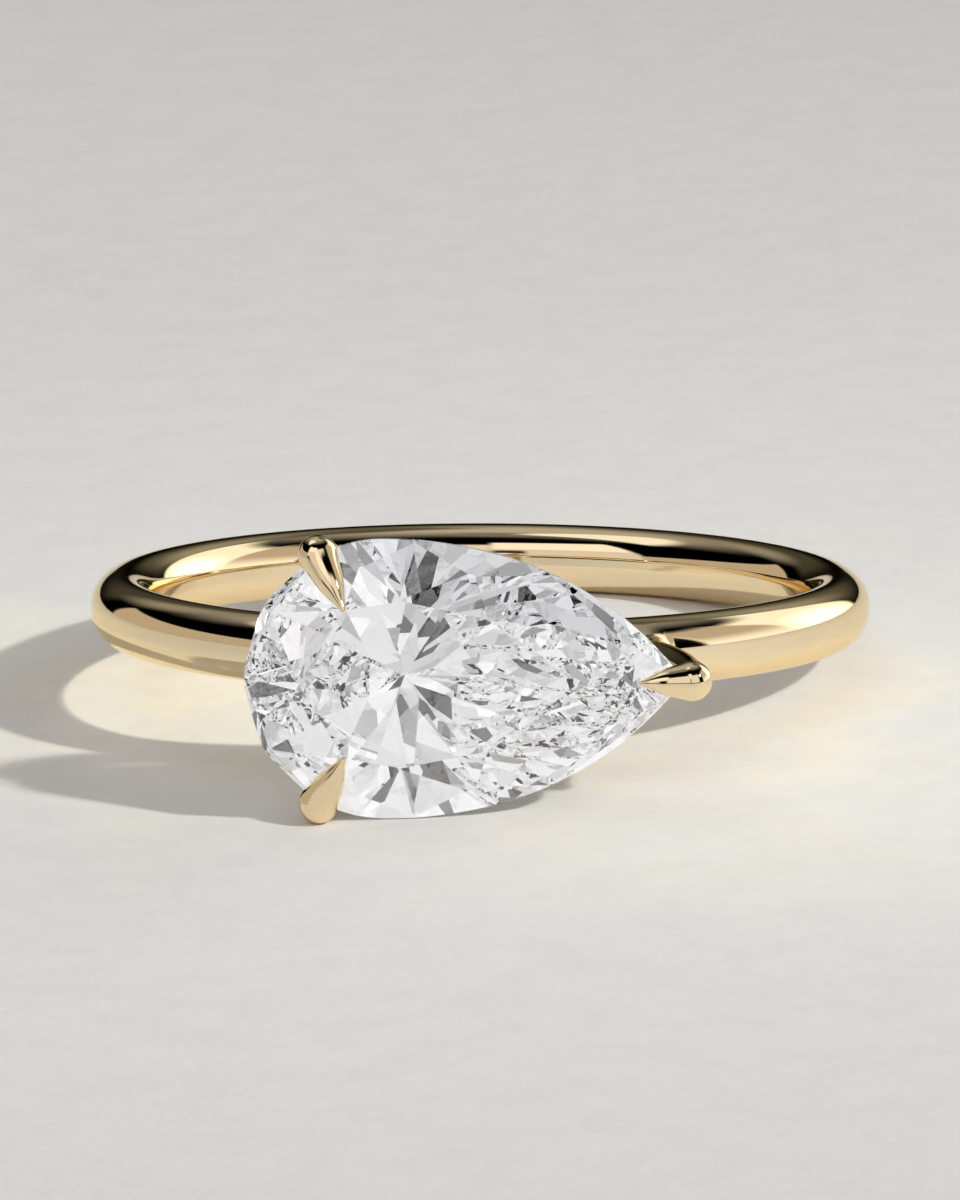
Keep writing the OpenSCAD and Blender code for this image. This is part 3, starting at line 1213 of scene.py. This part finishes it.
class PEARRING_OT_mount(bpy.types.Operator):
    """Builds the polished gold mount over its plain solid"""

    bl_idname = "pear_ring.mount"
    bl_label = "Make mount"

    def execute(self, context):
        sizes = context.scene.pear_ring_mount
        stone = context.scene.pear_ring_stone
        form = MountForm(sizes, stone)
        made = bmesh.new()
        tube(made, shank_rings(form, sizes.shank_steps, sizes.section_steps), True)
        piece = as_object("polished_mount", made)
        for claw in form.claws:
            for rings in (leg_rings(form, claw), drop_rings(form, claw)):
                part = bmesh.new()
                tube(part, rings, False)
                combine(piece, as_object("claw_part", part), "UNION")
        settle_on_form(piece.data, form)
        seat = as_object("seat", form.cut.solid(stone.seat_gap / MM))
        seat.data.transform(form.from_stone)
        combine(piece, seat, "DIFFERENCE")
        turn = ring_to_row()
        normals = shade_by_form(piece.data, form, turn.to_3x3())
        piece.data.transform(Matrix.Scale(MM, 4) @ turn)
        piece.data.normals_split_custom_set(normals.tolist())
        piece.data.materials.clear()
        piece.data.materials.append(gold_material(sizes))
        piece.visible_transmission = False
        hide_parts("ring_mount")
        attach(piece, BODY)
        return {"FINISHED"}


class PEARRING_OT_stone(bpy.types.Operator):
    """Cuts the clear pear stone over its plain solid"""

    bl_idname = "pear_ring.stone"
    bl_label = "Make stone"

    def execute(self, context):
        sizes = context.scene.pear_ring_stone
        cut = PearCut(sizes)
        piece = as_object("cut_stone", cut.solid())
        piece.data.transform(
            Matrix.Scale(MM, 4) @ ring_to_row() @ stone_to_ring(cut, sizes, context.scene.pear_ring_mount)
        )
        piece.data.materials.append(diamond_material(sizes))
        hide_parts("pear_stone")
        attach(piece, BODY)
        return {"FINISHED"}


class PEARRING_PT_panel(bpy.types.Panel):
    """Lists the ring's pieces and their settings"""

    bl_idname = "PEARRING_PT_panel"
    bl_label = "Pear ring"
    bl_space_type = "VIEW_3D"
    bl_region_type = "UI"
    bl_category = "Pear ring"

    def draw(self, context):
        layout = self.layout
        for name, operator in (
            ("pear_ring_stage", PEARRING_OT_stage),
            ("pear_ring_mount", PEARRING_OT_mount),
            ("pear_ring_stone", PEARRING_OT_stone),
        ):
            group = getattr(context.scene, name)
            box = layout.box()
            for prop in type(group).__annotations__:
                box.prop(group, prop)
            box.operator(operator.bl_idname)


CLASSES = (
    PearRingMountSettings,
    PearRingStoneSettings,
    PearRingStageSettings,
    PEARRING_OT_stage,
    PEARRING_OT_mount,
    PEARRING_OT_stone,
    PEARRING_PT_panel,
)


def register():
    """Adds the classes, and the settings to the scene."""
    for cls in CLASSES:
        bpy.utils.register_class(cls)
    bpy.types.Scene.pear_ring_mount = PointerProperty(type=PearRingMountSettings)
    bpy.types.Scene.pear_ring_stone = PointerProperty(type=PearRingStoneSettings)
    bpy.types.Scene.pear_ring_stage = PointerProperty(type=PearRingStageSettings)


def unregister():
    """Takes the settings and the classes away again."""
    del bpy.types.Scene.pear_ring_stage
    del bpy.types.Scene.pear_ring_stone
    del bpy.types.Scene.pear_ring_mount
    for cls in reversed(CLASSES):
        bpy.utils.unregister_class(cls)


def main():
    """Makes the stage and the ring."""
    register()
    bpy.ops.pear_ring.stage()
    bpy.ops.pear_ring.mount()
    bpy.ops.pear_ring.stone()


if __name__ == "__main__":
    main()
